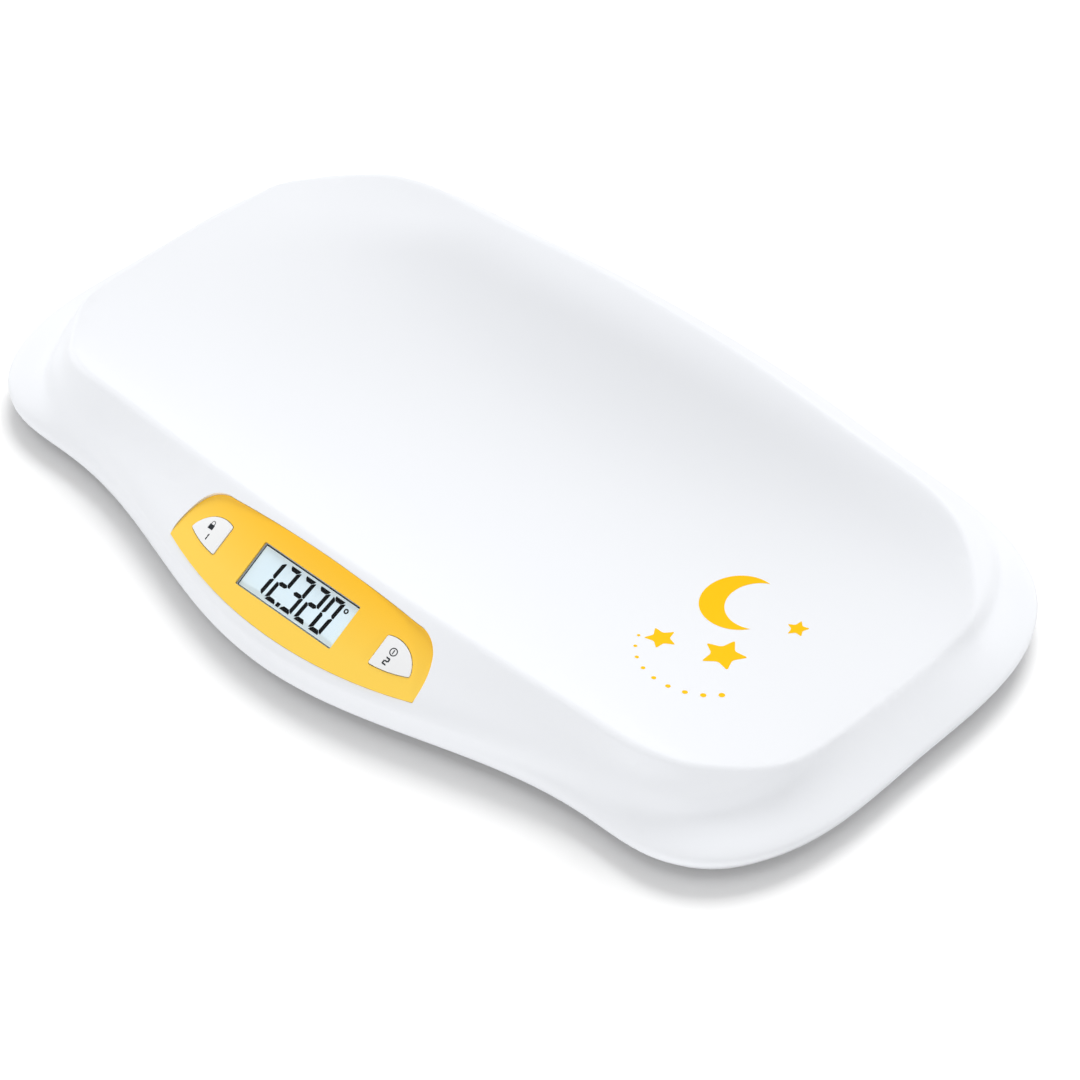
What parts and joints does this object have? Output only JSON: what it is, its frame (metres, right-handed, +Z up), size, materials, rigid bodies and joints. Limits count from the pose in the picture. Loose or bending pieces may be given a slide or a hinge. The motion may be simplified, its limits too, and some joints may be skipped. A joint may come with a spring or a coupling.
{
  "type": "digital baby weighing scale",
  "caption": "Low white weighing scale for babies with a long concave tray, a tilted display and press buttons on a nose at the front, standing on rubber feet.",
  "frame": {"origin": "on the floor under the middle of the plan", "axes": "+X along the tray, +Y away from the display, +Z up"},
  "size_m": [0.5492, 0.3406, 0.0537],
  "materials": {
    "white_abs": "satin moulded ABS",
    "base_abs": "fine textured ABS",
    "button_abs": "satin moulded ABS",
    "amber_fascia": "satin printed film",
    "clear_lens": "clear acrylic",
    "lcd_glass": "reflective LCD glass",
    "frame_plastic": "moulded",
    "elastomer": "zebra elastomer",
    "rubber_pad": "matte rubber",
    "foot_plastic": "moulded nylon",
    "cell_steel": "spring steel plate",
    "screw_steel": "zinc plated",
    "board": "solder resist",
    "switch_plastic": "moulded",
    "battery_can": "coated can",
    "snap_plastic": "moulded"
  },
  "bodies": {
    "housing": {"amplifier_board": "board", "base_board_screws": "screw_steel", "base_shell": "base_abs", "battery": "battery_can", "battery_snap": "snap_plastic", "board_screws": "screw_steel", "button_switches": "switch_plastic", "case_screws": "screw_steel", "contact_strips": "elastomer", "control_panel": "amber_fascia", "display_board": "board", "display_lens": "clear_lens", "foot_front_left": "foot_plastic", "foot_front_right": "foot_plastic", "foot_pad_front_left": "rubber_pad", "foot_pad_front_right": "rubber_pad", "foot_pad_rear_left": "rubber_pad", "foot_pad_rear_right": "rubber_pad", "foot_rear_left": "foot_plastic", "foot_rear_right": "foot_plastic", "lcd_frame": "frame_plastic", "lcd_module": "lcd_glass", "load_cell_front_left": "cell_steel", "load_cell_front_right": "cell_steel", "load_cell_rear_left": "cell_steel", "load_cell_rear_right": "cell_steel", "top_shell": "white_abs"},
    "hold_button": {"hold_button": "button_abs"},
    "tare_button": {"tare_button": "button_abs"},
    "battery_door": {"battery_door": "base_abs"}
  },
  "joints": [
    {"name": "hold_button_press", "type": "slide", "parent": "housing", "child": "hold_button", "axis": [0, 0.518, -0.8554], "range_m": [0, 0.0006], "stiffness_N_per_m": 1500},
    {"name": "tare_button_press", "type": "slide", "parent": "housing", "child": "tare_button", "axis": [0, 0.518, -0.8554], "range_m": [0, 0.0006], "stiffness_N_per_m": 1500},
    {"name": "battery_door_slide", "type": "slide", "parent": "housing", "child": "battery_door", "axis": [0, 1, 0], "range_m": [0, 0.008]}
  ]
}
